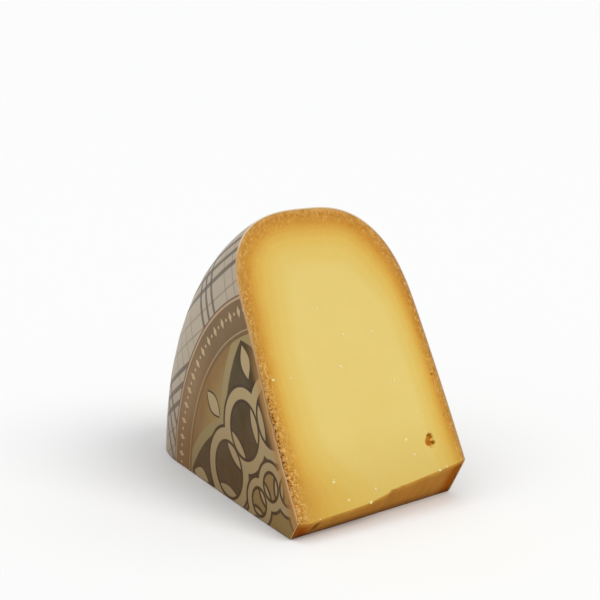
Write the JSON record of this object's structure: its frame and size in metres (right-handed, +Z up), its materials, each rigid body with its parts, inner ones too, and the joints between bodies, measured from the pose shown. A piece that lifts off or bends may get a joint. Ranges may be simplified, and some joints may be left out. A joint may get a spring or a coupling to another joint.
{
  "type": "cheese wedge",
  "caption": "Wedge of hard yellow cheese with a crumbly rind edge in its printed wrap, resting on a cut face.",
  "frame": {"origin": "middle of the bounding box's base, on the surface that the lower cut face rests on", "axes": "+X along the axis of the round cheese, from the printed side to the plain side; +Y from the tip to the rim; +Z up"},
  "size_m": [0.1199, 0.2036, 0.1657],
  "materials": {
    "paste": "waxy cut cheese, satin",
    "wrap": "printed film, satin"
  },
  "bodies": {
    "root": {"cheese": "paste", "printed_wrap": "wrap"}
  },
  "joints": []
}
